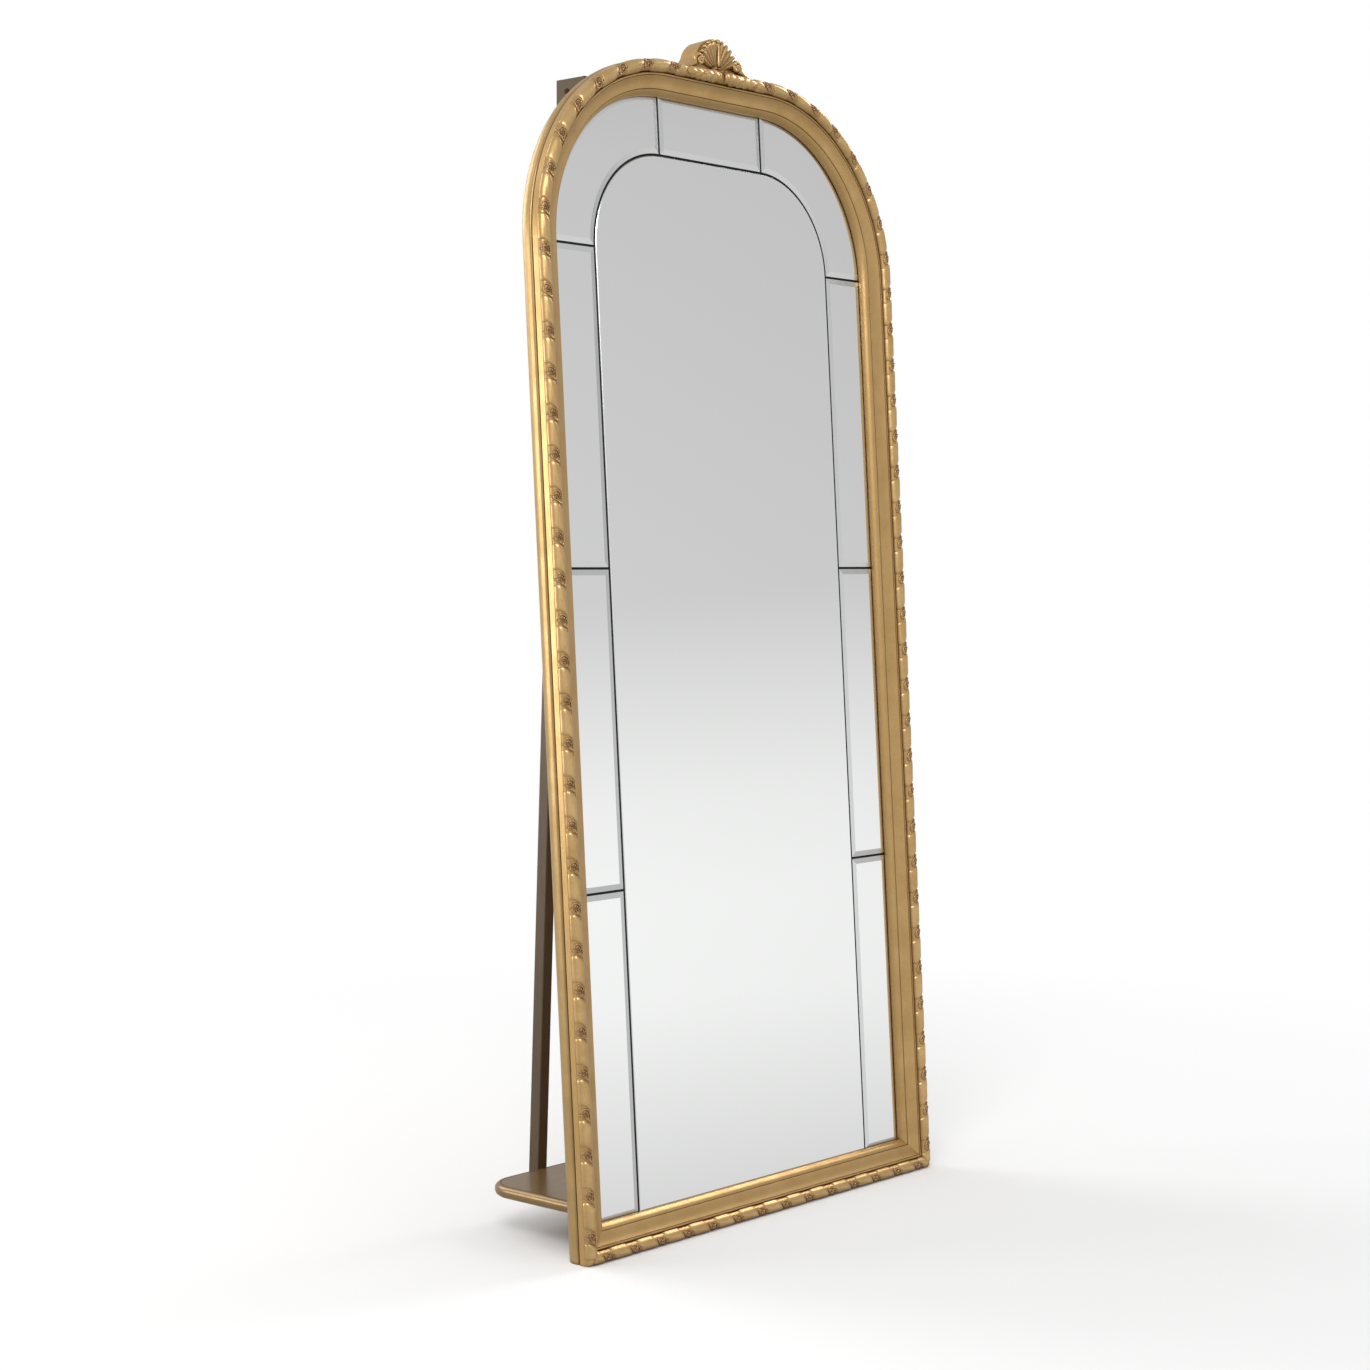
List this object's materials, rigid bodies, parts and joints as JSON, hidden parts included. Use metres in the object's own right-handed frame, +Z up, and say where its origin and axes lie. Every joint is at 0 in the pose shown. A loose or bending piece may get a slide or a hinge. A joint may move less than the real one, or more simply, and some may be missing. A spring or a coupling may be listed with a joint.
{
  "type": "floor mirror with coat rack",
  "caption": "Leaning floor mirror in an arched, carved and gilded frame, with a rack of coat hooks between two posts and a shelf behind it.",
  "frame": {"origin": "on the floor under the middle of the whole object's box", "axes": "+Z up, the mirror looks along -Y, +X to the right of someone looking into it from the front"},
  "size_m": [0.8878, 0.303, 1.9565],
  "materials": {
    "gilt_frame": "aged gilding, satin, darker in the quirks",
    "gilt_carving": "aged gilding, satin, worn bright on the high edges",
    "frame_body": "olive gold paint, matt",
    "mirror_glass": "silvered glass with ground edges",
    "black_board": "matt black board",
    "cover_board": "plain brown board, matt",
    "rack_wood": "bronze brown lacquer, satin",
    "dowel_wood": "plain beech",
    "steel": "zinc plated",
    "dark_bronze": "dark bronzed screw heads",
    "brass": "aged brass, satin",
    "felt": "dark felt"
  },
  "bodies": {
    "root": {"back_cover": "cover_board", "backing_board": "black_board", "batten_screws": "steel", "board_screws": "dark_bronze", "carcass_arch_left": "frame_body", "carcass_arch_right": "frame_body", "carcass_rail_bottom": "frame_body", "carcass_rail_top": "frame_body", "carcass_stile_left": "frame_body", "carcass_stile_right": "frame_body", "coat_hook_1": "brass", "coat_hook_2": "brass", "coat_hook_3": "brass", "coat_hook_4": "brass", "cover_clip_screws": "steel", "cover_clips": "steel", "crest_block": "gilt_frame", "crest_carving": "gilt_carving", "face_arch_left": "gilt_frame", "face_arch_right": "gilt_frame", "face_rail_bottom": "gilt_frame", "face_rail_top": "gilt_frame", "face_stile_left": "gilt_frame", "face_stile_right": "gilt_frame", "foot_glide_left": "felt", "foot_glide_right": "felt", "foot_left": "rack_wood", "foot_right": "rack_wood", "foot_studs": "steel", "hook_board": "rack_wood", "hook_screws": "steel", "joint_plate_screws": "steel", "joint_plates": "steel", "lower_batten": "rack_wood", "mirror_centre": "mirror_glass", "mirror_corner_left": "mirror_glass", "mirror_corner_right": "mirror_glass", "mirror_strip_left_1": "mirror_glass", "mirror_strip_left_2": "mirror_glass", "mirror_strip_left_3": "mirror_glass", "mirror_strip_right_1": "mirror_glass", "mirror_strip_right_2": "mirror_glass", "mirror_strip_right_3": "mirror_glass", "mirror_top": "mirror_glass", "post_dowels": "dowel_wood", "post_left": "rack_wood", "post_right": "rack_wood", "post_screws": "dark_bronze", "ribbon_knots_bottom": "gilt_carving", "ribbon_knots_left": "gilt_carving", "ribbon_knots_right": "gilt_carving", "ribbon_turns_bottom": "gilt_carving", "ribbon_turns_left": "gilt_carving", "ribbon_turns_right": "gilt_carving", "shelf": "rack_wood", "shelf_screws": "steel", "side_board_left": "rack_wood", "side_board_right": "rack_wood", "upper_batten": "rack_wood"}
  },
  "joints": []
}
